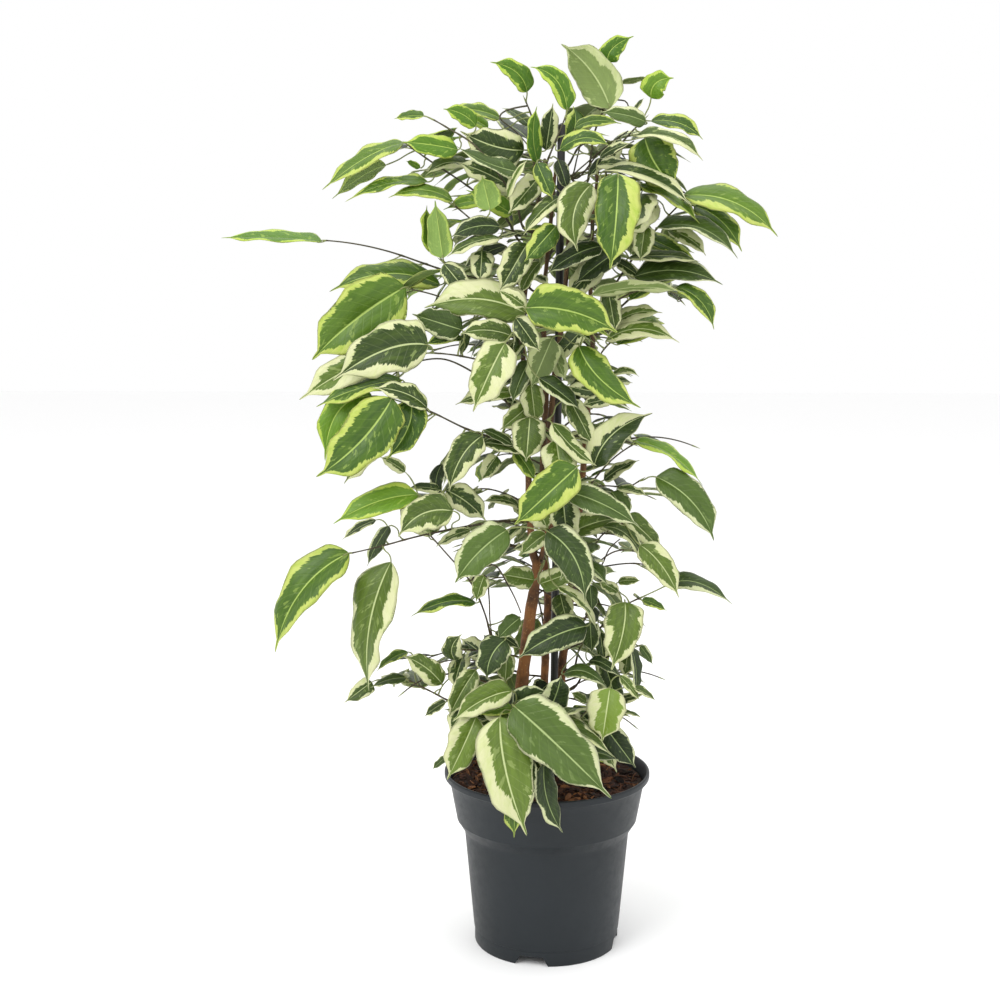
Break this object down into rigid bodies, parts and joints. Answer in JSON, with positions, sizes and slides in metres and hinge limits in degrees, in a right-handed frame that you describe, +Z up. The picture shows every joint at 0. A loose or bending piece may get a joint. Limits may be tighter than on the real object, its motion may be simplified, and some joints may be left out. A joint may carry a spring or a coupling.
{
  "type": "potted weeping fig",
  "caption": "Potted variegated weeping fig with slim forked stems, a support cane and cream-edged leaves, in a grey plastic grower's pot.",
  "frame": {"origin": "under the middle of the object's box, at the height of the pot's foot", "axes": "+Z up along the pot's axis and the stems, -Y towards the pictured front, +X to the right of that view"},
  "size_m": [0.441, 0.3064, 0.739],
  "materials": {
    "slate_grey_plastic": "satin",
    "bark_soil": "rough, crumbled",
    "fig_bark": "matt bark",
    "dark_cane": "satin",
    "fig_leaf": "waxy on top, matt underneath"
  },
  "bodies": {
    "root": {"pot": "slate_grey_plastic", "potting_soil": "bark_soil", "spray_base_front": "fig_leaf", "spray_base_left": "fig_leaf", "spray_base_right": "fig_leaf", "spray_base_rim": "fig_leaf", "spray_centre": "fig_leaf", "spray_centre_bright": "fig_leaf", "spray_centre_lower": "fig_leaf", "spray_centre_upper": "fig_leaf", "spray_crown_left": "fig_leaf", "spray_crown_left_high": "fig_leaf", "spray_crown_right": "fig_leaf", "spray_crown_top_left": "fig_leaf", "spray_crown_top_middle": "fig_leaf", "spray_crown_top_right": "fig_leaf", "spray_far_01": "fig_leaf", "spray_far_02": "fig_leaf", "spray_far_03": "fig_leaf", "spray_far_05": "fig_leaf", "spray_far_07": "fig_leaf", "spray_far_08": "fig_leaf", "spray_far_09": "fig_leaf", "spray_far_10": "fig_leaf", "spray_far_11": "fig_leaf", "spray_far_12": "fig_leaf", "spray_far_13": "fig_leaf", "spray_far_14": "fig_leaf", "spray_far_15": "fig_leaf", "spray_far_16": "fig_leaf", "spray_far_left_leaf": "fig_leaf", "spray_front_middle": "fig_leaf", "spray_front_upper": "fig_leaf", "spray_left_cluster": "fig_leaf", "spray_left_hanging": "fig_leaf", "spray_left_middle": "fig_leaf", "spray_left_reaching": "fig_leaf", "spray_left_shoulder": "fig_leaf", "spray_left_thin": "fig_leaf", "spray_left_upper": "fig_leaf", "spray_low_left": "fig_leaf", "spray_low_middle": "fig_leaf", "spray_low_right": "fig_leaf", "spray_low_right_back": "fig_leaf", "spray_right_arching": "fig_leaf", "spray_right_drooping": "fig_leaf", "spray_right_front": "fig_leaf", "spray_right_lower": "fig_leaf", "spray_right_middle": "fig_leaf", "spray_right_twig": "fig_leaf", "spray_right_upper": "fig_leaf", "stem_back": "fig_bark", "stem_main": "fig_bark", "stem_right": "fig_bark", "support_cane": "dark_cane"}
  },
  "joints": []
}
